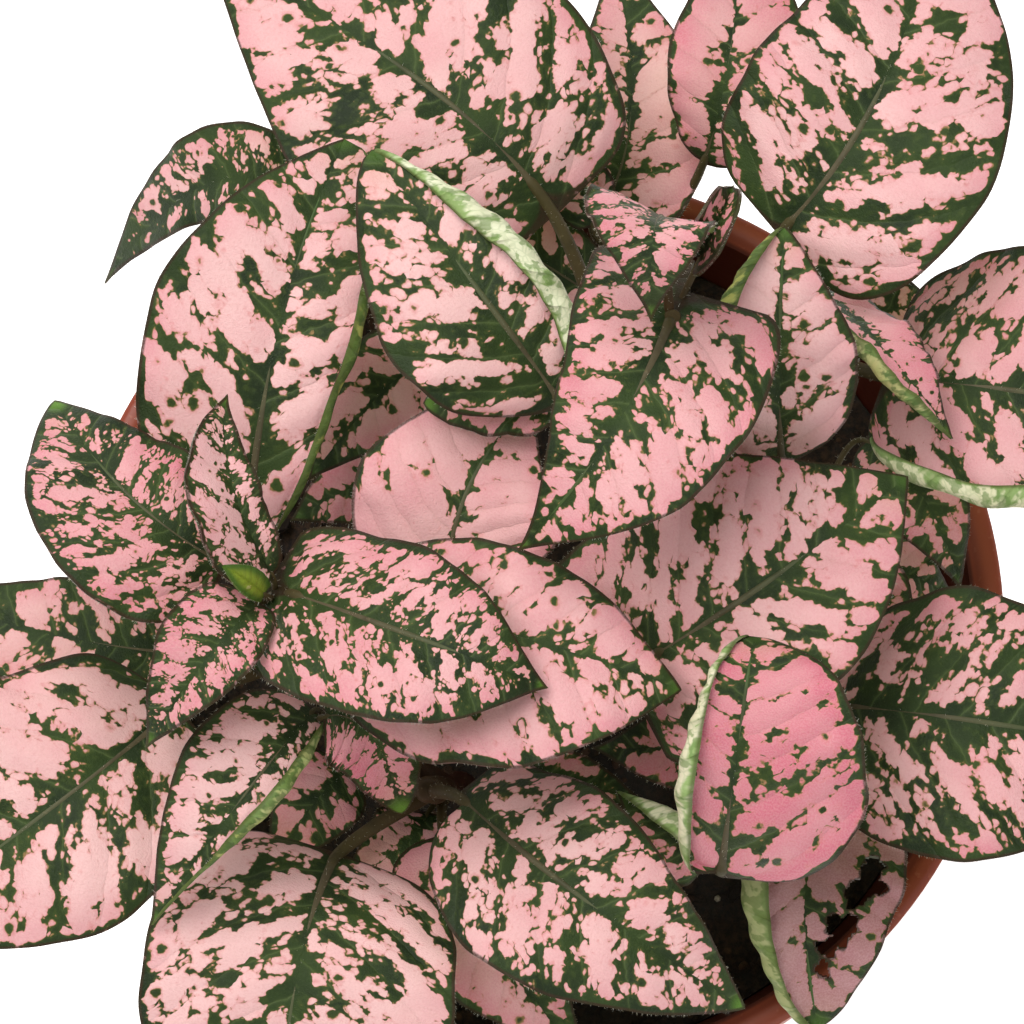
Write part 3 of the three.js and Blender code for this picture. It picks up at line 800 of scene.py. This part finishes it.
blade = {
    "thickness": 0.36,
    "waves": 3,
    "crimps": 8,
    "vein": {"lean": 0.62, "arch": 0.016, "count": 7.0, "stagger": 0.35},
    "quilt": 0.34,      # how far the blade rises between its side veins
    "crimp": 0.22,      # fine waves of the margin
    "buckle": 0.5,      # slow unevenness
    "fullSize": 24,     # width of a leaf with all its relief
    "pointGap": 0.55,   # between neighbouring points of the mesh
    "rows": (20, 84),   # fewest and most steps along the blade, and across half of it
    "columns": (9, 30),
    "biteGap": 0.2,     # point gap of a leaf with bites, which may have twice the steps
}


def onSide(value, side):
    # a shape number may be a pair: one for the left half and one for the right
    return np.where(side > 0, *value) if isinstance(value, tuple) else value


def halfWidth(row, along, side):
    early = math.log(0.5) / np.log(onSide(row["widest"], side))
    power = lerp(onSide(row["heel"], side), onSide(row["nose"], side), along)
    return np.abs(np.sin(math.pi * along ** early)) ** power


def arc(start, bend, length):
    end = start + bend * length
    return (np.sin(end) - np.sin(start)) / bend, (np.cos(start) - np.cos(end)) / bend


def sheetOf(row, alongs, sides):
    # the blade's mid surface at each share along, and share out: 1 the left margin, -1 the right one
    along, out = alongs[:, None], np.abs(sides)[None, :]
    side = np.where(sides < 0, -1.0, 1.0)[None, :]
    seed, length = row["seed"], midribLength(row)
    line, run = midrib(row, alongs)
    up, lean = upright(run), -math.radians(row["lean"])
    up = up * math.cos(lean) + np.cross(run, up) * math.sin(lean)
    left = np.cross(up, run)
    half = np.where(side > 0, row["left"], row["right"])
    width = halfWidth(row, along, side)
    uneven = 1 + 0.022 * np.sin(9.0 * along + seed) + 0.012 * np.sin(23.0 * along * side + 2.1 * seed)
    reach = half * width * uneven
    roll = np.radians(np.where(side > 0, row["rollLeft"], row["rollRight"]))
    fold, curl = math.radians(row["fold"]), math.radians(row["curl"])
    flat = np.minimum(out, row["rollStart"])
    outFlat, upFlat = arc(fold, curl, flat)
    slope, bend = fold + curl * flat, curl + roll / (1 - row["rollStart"])
    outRoll, upRoll = arc(slope, bend, out - flat)
    slope = slope + bend * (out - flat)
    ripple = row["wave"] * width * np.sin(math.tau * blade["waves"] * along + side) * out ** 2
    crimp = np.sin(math.tau * blade["crimps"] * along + seed * side)
    ripple = ripple + blade["crimp"] * width * out ** 4 * crimp

    back = onSide(row["sweep"], side) * half * out ** 2 * (1 - along) ** 3
    across, forward = side * out * reach, along * length - back
    vein = blade["vein"]
    level = forward - vein["lean"] * np.abs(across) - vein["arch"] * across ** 2
    phase = level * vein["count"] / length + side * vein["stagger"]
    swell = np.sin(math.pi * phase) ** 2 * ease(np.abs(across), 0.3, 3.5)
    swell = swell * (1 - 0.7 * ease(out, 0.75, 1.0))
    size = min(1.0, (row["left"] + row["right"]) / blade["fullSize"])
    relief = blade["quilt"] * size * swell * np.minimum(1, width * 1.5)
    slow = np.sin(0.31 * across + 1.7 * seed) * np.sin(0.24 * forward + seed)
    relief = relief + blade["buckle"] * size * slow * ease(width, 0.0, 0.6) * (0.3 + 0.7 * out)

    normal = (up[:, None] * np.cos(slope)[..., None]
              - left[:, None] * (side * np.sin(slope))[..., None])
    points = line[:, None] + left[:, None] * (side * (outFlat + outRoll) * reach)[..., None]
    points = points + up[:, None] * ((upFlat + upRoll) * reach + ripple)[..., None]
    points = points - run[:, None] * back[..., None] + normal * relief[..., None]
    return {"points": points, "across": across, "forward": forward, "length": length,
            "fromEdge": (1 - out) * reach, "along": along + 0 * across}


def stepsFor(reach, limits, row):
    gap, most = (blade["biteGap"], 2) if row["bites"] else (blade["pointGap"], 1)
    return int(np.clip(reach / gap, limits[0], limits[1] * most))


def makeBlade(row):
    # closer steps near the base and tip, and near the margins
    steps = np.linspace(0, 1, stepsFor(midribLength(row), blade["rows"], row) + 1)
    alongs = lerp(steps, 0.5 - 0.5 * np.cos(math.pi * steps), 0.5)
    halfSteps = stepsFor(max(row["left"], row["right"]), blade["columns"], row)
    spread = np.linspace(1, -1, 2 * halfSteps + 1)
    closer = np.sin(np.abs(spread) * math.pi / 2)
    sheet = sheetOf(row, alongs, np.sign(spread) * lerp(np.abs(spread), closer, 0.4))
    piece = shapedGrid(sheet["points"])
    flatMap = piece.data.uv_layers.active
    flatMap.name = "leafMap"
    corners = np.empty(len(piece.data.loops), np.int32)
    piece.data.loops.foreach_get("vertex_index", corners)
    places = np.stack([sheet["across"].ravel(), sheet["forward"].ravel()], -1)
    flatMap.data.foreach_set("uv", places[corners].astype(np.float32).ravel())
    count = sheet["across"].size
    storeNumbers(piece, "leafLook", np.tile([row["pink"], row["grain"], row["deep"]], (count, 1)))
    # leafOwn holds the seed, the bud share and the painted shade of a leaf in shadow
    storeNumbers(piece, "leafOwn", np.tile([row["seed"], row["fresh"], row["dull"]], (count, 1)))
    storeNumbers(piece, "leafPale", np.full(count, row["pale"]))
    bite = biteDepth(row, sheet["across"], sheet["forward"])
    fromEdge = np.minimum(sheet["fromEdge"], bite)
    onLeaf = [fromEdge.ravel(), sheet["along"].ravel(), np.full(count, sheet["length"])]
    storeNumbers(piece, "leafPlace", np.stack(onLeaf, -1))
    if row["bites"]:
        biteHoles(piece, bite)
    for material in leafMaterials.values():
        piece.data.materials.append(material)
    mergeDoubles(piece)
    pickOnly(piece)
    thick = piece.modifiers.new("thickness", "SOLIDIFY")
    thick.thickness = blade["thickness"] * mm
    thick.offset = 0
    thick.material_offset = 1
    thick.material_offset_rim = 2
    bpy.ops.object.modifier_apply(modifier=thick.name)
    return piece, sheet


def biteDepth(row, across, forward):
    # below 0 inside a bite, in millimetres
    depth = np.full(across.shape, 9.0)
    for number, (middle, along, radius, stretch) in enumerate(row["bites"]):
        aside, ahead = across - middle, (forward - along) / stretch
        turn = np.arctan2(ahead, aside)
        ragged = 1 + 0.22 * np.sin(3 * turn + number) + 0.16 * np.sin(5 * turn + 2 * number)
        ragged = ragged + 0.1 * np.sin(9 * turn)
        depth = np.minimum(depth, np.hypot(aside, ahead) - radius * ragged)
    return depth


def biteHoles(piece, depth):
    pickOnly(piece)
    bpy.ops.object.mode_set(mode="EDIT")
    bpy.ops.mesh.select_all(action="DESELECT")
    bpy.ops.object.mode_set(mode="OBJECT")
    piece.data.vertices.foreach_set("select", depth.ravel() < 0)
    bpy.ops.object.mode_set(mode="EDIT")
    bpy.ops.mesh.select_mode(type="VERT")
    bpy.ops.mesh.delete(type="VERT")
    bpy.ops.object.mode_set(mode="OBJECT")


# stalks and shoots

def makeTube(line, radii, sides, tones):
    rings = tube(line, radii, sides)
    piece = shapedGrid(rings)
    tones = np.concatenate([tones[:1], tones, tones[-1:]])
    storeNumbers(piece, "tone", np.repeat(tones, sides + 1))
    mergeDoubles(piece)
    return piece


def makeShoot(points, leaves, number):
    line = smoothLine(shootPoints(points), stem["steps"])
    share = np.linspace(0, 1, len(line))
    radii = lerp(*stem["radius"], share)
    height = line[:, 2] - potHeight
    swell, reach = stem["joint"]
    for row in leaves:
        if row["shoot"] == number:
            joint = swell * np.exp(-((height - row["start"]) / reach) ** 2)
            radii = radii + joint * min(1, row["left"] / 8)
    radii = radii * (1 + 0.04 * np.sin(height * 1.1))
    radii[-1] *= 0.6
    tones = ease(height, -12, 30) * 0.7
    return line, makeTube(line, radii, stem["sides"], tones)


def makeStalk(row, shoot):
    # the stalk runs on as the midrib, sunk in the blade and thinning to nothing near the tip
    outer = stalkLine(row, shoot)
    shares = np.linspace(*stem["ribRun"], 30)
    rib, run = midrib(row, shares)
    size = stem["stalkRadius"] * np.clip((row["left"] + row["right"]) / 20, 0.5, 1.1)
    thick = size * lerp(*stem["ribTaper"], shares ** 0.8)
    rib = rib - upright(run) * (thick * stem["ribSunk"])[:, None]
    line = np.concatenate([outer, rib])
    radii = np.concatenate([np.linspace(*stem["stalkTaper"], len(outer)) * size, thick])
    tones = np.concatenate([np.linspace(0.45, 0.9, len(outer)), 1.0 + shares])
    return line, radii, makeTube(line, radii, stem["stalkSides"], tones)


# hairs along margins, midribs, stalks and shoots

hairs = {
    "thick": 0.022,
    "marginGap": 0.34,
    "marginLength": (0.2, 0.5),
    "marginSlant": (0.2, 1.1),  # how far they point along the line they grow on
    "scatter": 0.25,
    "stalkPerMm": 4.5,
    "stalkLength": (0.25, 0.6),
    "stalkSlant": (-0.1, 0.8),
    "sunk": 0.05,
}


class HairRoots:
    def __init__(self):
        self.roots, self.aims, self.lengths = [], [], []

    def add(self, roots, aims, lengths):
        self.roots.append(roots)
        self.aims.append(unit(aims))
        self.lengths.append(lengths)


def marginHairs(sheet, store):
    for column, inner in ((0, 1), (-1, -2)):
        edge, inside = sheet["points"][:, column], sheet["points"][:, inner]
        gone = walked(edge)
        count = int(gone[-1] / hairs["marginGap"])
        where = np.sort(chance.random(count)) * gone[-1]
        roots, outward, onward = readAt(where, gone, edge, unit(edge - inside),
                                        unit(np.gradient(edge, axis=0)))
        aims = outward + onward * chance.uniform(*hairs["marginSlant"], (count, 1))
        aims = aims + chance.normal(0, hairs["scatter"], (count, 3))
        store.add(roots, aims, chance.uniform(*hairs["marginLength"], count))


def tubeHairs(line, radii, store, density, until=1.0):
    gone = walked(line)
    count = int(gone[-1] * until * density)
    where = chance.random(count) * gone[-1] * until
    centres, onward = readAt(where, gone, line, unit(np.gradient(line, axis=0)))
    aims = chance.normal(size=(count, 3))
    aims = unit(aims - onward * (aims * onward).sum(-1, keepdims=True))
    roots = centres + aims * (np.interp(where, gone, radii) * 0.9)[:, None]
    aims = aims + onward * chance.uniform(*hairs["stalkSlant"], (count, 1))
    store.add(roots, aims, chance.uniform(*hairs["stalkLength"], count))


def makeHairs(name, store):
    # one thin cone, copied to every root
    bpy.ops.mesh.primitive_cone_add(vertices=3, radius1=1, radius2=0, depth=1, location=(0, 0, 0))
    cone = bpy.context.object
    for vertex in cone.data.vertices:
        vertex.co.z += 0.5
    roots, aims, lengths = (np.concatenate(part) for part in (store.roots, store.aims, store.lengths))
    side = unit(np.cross(aims, (0.31, 0.42, 0.85)))
    turns = np.stack([side, np.cross(aims, side), aims], -1)
    sizes = np.stack([np.full(len(lengths), hairs["thick"])] * 2 + [lengths], -1)
    piece = scatter(cone, roots - aims * hairs["sunk"], sizes, turns)
    piece.name = piece.data.name = name
    piece.data.materials.append(hairMaterial)
    return piece


# leaf, stalk and hair materials

pattern = {
    # scales are per millimetre of leaf, the rest in millimetres unless a note says otherwise
    "wanderScale": 0.45,
    "sway": 1.8,               # how far rows of spots wander across and along
    "veinNod": 1.2,            # the same for the side veins, along only
    "rowLean": 0.34,           # the rows lean and arch like the veins, but less
    "rowArch": 0.008,
    "patchScale": 0.25,
    "patchStretch": (0.82, 1.04),
    "jagScale": 1.35,
    "spotScale": 0.50,
    "smallScale": 0.95,
    "blotScale": 0.42,
    "contrast": 2.3,           # how firmly the patches part pink from green
    "betweenVeins": 0.34,      # more pink there, as a share
    "midribBand": (1.15, 0.85),  # green along the midrib: width, then how strong
    "midribLine": (0.25, 0.5),
    "greenEdge": (1.5, 0.25),  # where it starts from the margin, and where it is full
    "greenTip": (2.7, 0.6),
}


def leafPattern(tree):
    # how far a point lies inside the pink (above 0) or the green (below 0), and what else
    # colours it
    across, forward, _ = split(stored(tree, "leafMap"))
    pink, grain, deep = split(stored(tree, "leafLook"))
    seed, fresh, dull = split(stored(tree, "leafOwn"))
    fromEdge, along, length = split(stored(tree, "leafPlace"))
    vein, side, x = blade["vein"], across.maths("SIGN"), abs(across)
    xSquared, ahead = x * x, length - forward
    flat = place(tree, across, forward, seed)
    sway = noiseAt(flat, pattern["wanderScale"]) - 0.5
    nod = noiseAt(place(tree, across, forward, seed + 31.0), pattern["wanderScale"]) - 0.5
    jag = noiseAt(place(tree, across, forward, seed + 7.0), pattern["jagScale"], 1.5)
    ragged = jag - 0.5

    # side veins, and the rows of spots, which follow them loosely
    level = forward - x * vein["lean"] - xSquared * vein["arch"] + nod * pattern["veinNod"]
    spacing = length / vein["count"]
    phase = level / spacing + side * vein["stagger"]
    fromVein = (abs(phase.maths("FRACT") - 0.5) * -1.0 + 0.5) * 2.0
    rowX = (x + sway * pattern["sway"]) * grain
    rowY = forward - x * pattern["rowLean"] - xSquared * pattern["rowArch"] + nod * pattern["sway"]
    rowY = rowY * grain

    # where the leaf tends to pink, less so by the midrib, the margin and the tip
    wide, long = pattern["patchStretch"]
    stretched = place(tree, rowX * wide, rowY * long, seed + side * 9.0)
    patches = noiseAt(stretched, pattern["patchScale"], 2.0, 0.55) - 0.5
    openness = patches * pattern["contrast"] + (fromVein - 0.45) * pattern["betweenVeins"] + pink
    width, strength = pattern["midribBand"]
    towardsBase = along * -1.0 + 1.15
    openness = openness - decay(x + sway * 1.4, width) * strength * towardsBase
    width, strength = pattern["midribLine"]
    openness = openness - decay(x + ragged * 0.7, width) * strength
    fromTip = (xSquared + ahead * ahead).maths("SQRT")
    openness = openness - fade(fromEdge, *pattern["greenEdge"]) * (jag * 1.4 - 0.12)
    openness = openness - fade(fromTip, *pattern["greenTip"]) * 0.8

    # spots, small spots and green blots, with ragged edges
    spot = place(tree, rowX * 0.86, rowY, seed * 3.0 + side * 5.0)
    coarse, coarseOwn = cellsAt(spot, pattern["spotScale"])
    small, smallOwn = cellsAt(spot, pattern["smallScale"])
    inCoarse = openness * 0.9 + coarseOwn * 0.3 - coarse * 0.9 + ragged * 0.72
    inSmall = (openness * 0.9 + smallOwn * 0.45 - small - 0.1 + ragged * 0.5) * 0.6
    inPink = inCoarse.maths("MAXIMUM", inSmall) + fade(openness, 0.5, 0.95) * 0.1
    blot = place(tree, across * grain + ragged * 1.1, forward * grain + sway * 1.5, seed + 50.0)
    dots, dotOwn = cellsAt(blot, pattern["blotScale"])
    inPink = inPink.maths("MINIMUM", dots - fade(dotOwn, 0.6, 0.95) * 0.24)
    return {"flat": flat, "inPink": inPink, "vein": fromVein * spacing * 0.4, "x": x,
            "grain": grain, "deep": deep, "fresh": fresh, "dull": dull, "fromEdge": fromEdge,
            "fromTip": fromTip, "jag": jag}


def leafTop():
    material, tree = newMaterial("leafTop")
    p = leafPattern(tree)
    cloudy = noiseAt(p["flat"], 0.13, 3.0)
    mottle = noiseAt(p["flat"], 3.2, 3.0, 0.65)
    fine = noiseAt(p["flat"], 5.0, 2.0, 0.6)
    clouds = fade(cloudy, 0.3, 0.7)
    inPink, fromEdge, fromTip = p["inPink"], p["fromEdge"], p["fromTip"]
    deep = p["deep"] + fade(fromEdge, 4.5, 0.3) * 0.3 + (cloudy - 0.5) * 0.9
    line = decay(p["vein"], 0.13) * fade(p["x"], 13.0, 2.0)
    pinks = layered(mix(deep, "f5c4c2", "da7487"),
                    (fade(mottle, 0.42, 0.75) * 0.3, "dc9a96"),
                    (fade(inPink, 0.16, 0.01) * 0.5, "db8280"),
                    (fade(fromTip, 6.0, 1.0) * 0.5, "dfa892"),
                    # painted shade: the pinks of a leaf in shadow are darkened towards 8f6866
                    (p["dull"] * 0.75, "8f6866"))
    youngTip = fade(fromTip, 2.2, 0.5) * fade(p["grain"], 0.6, 1.6)
    greens = layered(mix(clouds, "1e2c14", "33451d"),
                     (fade(inPink, -0.24, -0.02) * 0.35, "50602a"),
                     (line * 0.6, "5f7040"),
                     (fade(mottle, 0.5, 0.8) * 0.35, "4c5f38"),
                     (youngTip * 0.9, "6a9636"))
    bud = mix(fade(fromEdge, 1.1, 0.15), "84952f", "3f5c1a")
    margin = fade(fromEdge, 0.48, 0.2) * (p["fresh"] * -1.0 + 1.0)
    body = layered(greens,
                   (fade(inPink, -0.045, -0.005), "987a4e"),
                   (fade(inPink, -0.01, 0.025), pinks),
                   (line * fade(inPink, 0.0, 0.1) * 0.22, "c98f84"),
                   (p["fresh"] * 0.9, bud),
                   (margin * 0.9, mix(p["jag"], "2c3016", "40201a")),
                   (fade(fine, 0.35, 0.65) * fade(inPink, 0.0, 0.05) * 0.15, "fbdcd6"))
    height = decay(p["vein"], 0.3) * -0.16 + fine * 0.13 + mottle * 0.12
    return finish(material, body, clouds * 0.1 + 0.46, height, 0.7,
                  **{"Specular IOR Level": 0.22})


def leafUnderside():
    material, tree = newMaterial("leafUnderside")
    p = leafPattern(tree)
    ownPale = stored(tree, "leafPale", "Fac")
    paleness = ownPale + (noiseAt(p["flat"], 0.2, 3.0) - 0.5) * 0.6
    pale = layered(mix(paleness, "9fa152", "edefcd"), (p["deep"] * 0.3, "d9b59a"))
    greens = mix(paleness, "50642b", "9db873")
    line = decay(p["vein"], 0.2) * fade(p["x"], 13.0, 2.0)
    blotches = noiseAt(p["flat"], 0.75, 2.5, 0.6)
    body = layered(mix(fade(p["inPink"] + (ownPale - 0.4) * 0.3, -0.16, 0.1), greens, pale),
                   (line * 0.6, "8da65f"),
                   (fade(netAt(p["flat"], 1.1), 0.14, 0.03) * 0.2, "7e9a50"),
                   (fade(blotches, 0.51, 0.58) * 0.65, mix(ownPale, "3f5226", "6f8f4a")),
                   # painted shade: the underside of a leaf in shadow is darkened towards 7d8a4a
                   (p["dull"] * 0.5, "7d8a4a"),
                   (fade(p["fromEdge"], 0.5, 0.15) * 0.8, "54602c"),
                   (p["fresh"] * 0.9, "86a72c"))
    height = decay(p["vein"], 0.25) * 0.25 + noiseAt(p["flat"], 3.0, 2.0, 0.6) * 0.1
    return finish(material, body, 0.55, height, 0.8, **{"Specular IOR Level": 0.25})


def leafMargin():
    material, tree = newMaterial("leafMargin")
    reddish = fade(noiseAt(ownPlace(tree), 500.0), 0.4, 0.65)
    _, fresh, _ = split(stored(tree, "leafOwn"))
    shade = layered(mix(reddish, "3c3c1b", "4b251d"), (fresh, "4d6a1f"))
    return finish(material, shade, 0.5)


def stalkSkin():
    material, tree = newMaterial("stalkSkin")
    where = ownPlace(tree)
    tone = stored(tree, "tone", "Fac")
    blotch = noiseAt(where, 300.0, 3.0)
    fine = noiseAt(where, 1800.0, 2.0, 0.6)
    shade = layered(mix(fade(tone, 0.0, 0.5), "3d1915", "4a3620"),
                    (fade(tone, 0.4, 0.95), "4c4528"),
                    (fade(tone, 0.9, 1.1), "5b523c"),
                    (fade(tone, 1.15, 1.6), "545a3c"),
                    (fade(tone, 1.5, 1.9), "45602f"),
                    (fade(blotch, 0.45, 0.7) * 0.4, "2b2716"),
                    (fade(fine, 0.62, 0.74) * 0.25, "8d8260"))
    return finish(material, shade, 0.55, blotch * 0.15 + fine * 0.1, 0.8,
                  **{"Specular IOR Level": 0.25})


def hairSkin():
    material, tree = newMaterial("hairSkin")
    own = stored(tree, "ownTone", "Fac")
    shade = mix(own, "cfc9a8", "f2efe2")
    return finish(material, shade, 0.4, **{"Specular IOR Level": 0.5})


leafMaterials = {"top": leafTop(), "underside": leafUnderside(), "margin": leafMargin()}
stalkMaterial = stalkSkin()
hairMaterial = hairSkin()


def makeLeafyStem(name, plan):
    store = HairRoots()
    lines, tubes, blades = [], [], []
    for number, points in enumerate(plan["shoots"]):
        line, piece = makeShoot(points, plan["leaves"], number)
        lines.append(line)
        tubes.append(piece)
        tubeHairs(line, np.full(len(line), 1.4), store, hairs["stalkPerMm"] * 0.8)
    for row in plan["leaves"]:
        piece, sheet = makeBlade(row)
        blades.append(piece)
        marginHairs(sheet, store)
        line, radii, piece = makeStalk(row, lines[row["shoot"]])
        tubes.append(piece)
        tubeHairs(line, radii, store, hairs["stalkPerMm"], 0.7)
    leaves = joinAs(f"{name}Leaves", blades)
    stalks = joinAs(f"{name}Stalks", tubes)
    stalks.data.materials.clear()
    stalks.data.materials.append(stalkMaterial)
    for piece in (leaves, stalks):
        smooth(piece, 55)
    fuzz = makeHairs(f"{name}Hairs", store)
    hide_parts(plan["node"])
    for piece in (leaves, stalks, fuzz):
        piece.location = (0, 0, 0)
        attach(piece, "root")
    print(name, "made:", len(leaves.data.polygons), "blade faces")


setUpStudio()
makePot()
makeSoil()
for name, plan in leafyStems.items():
    makeLeafyStem(name, plan)
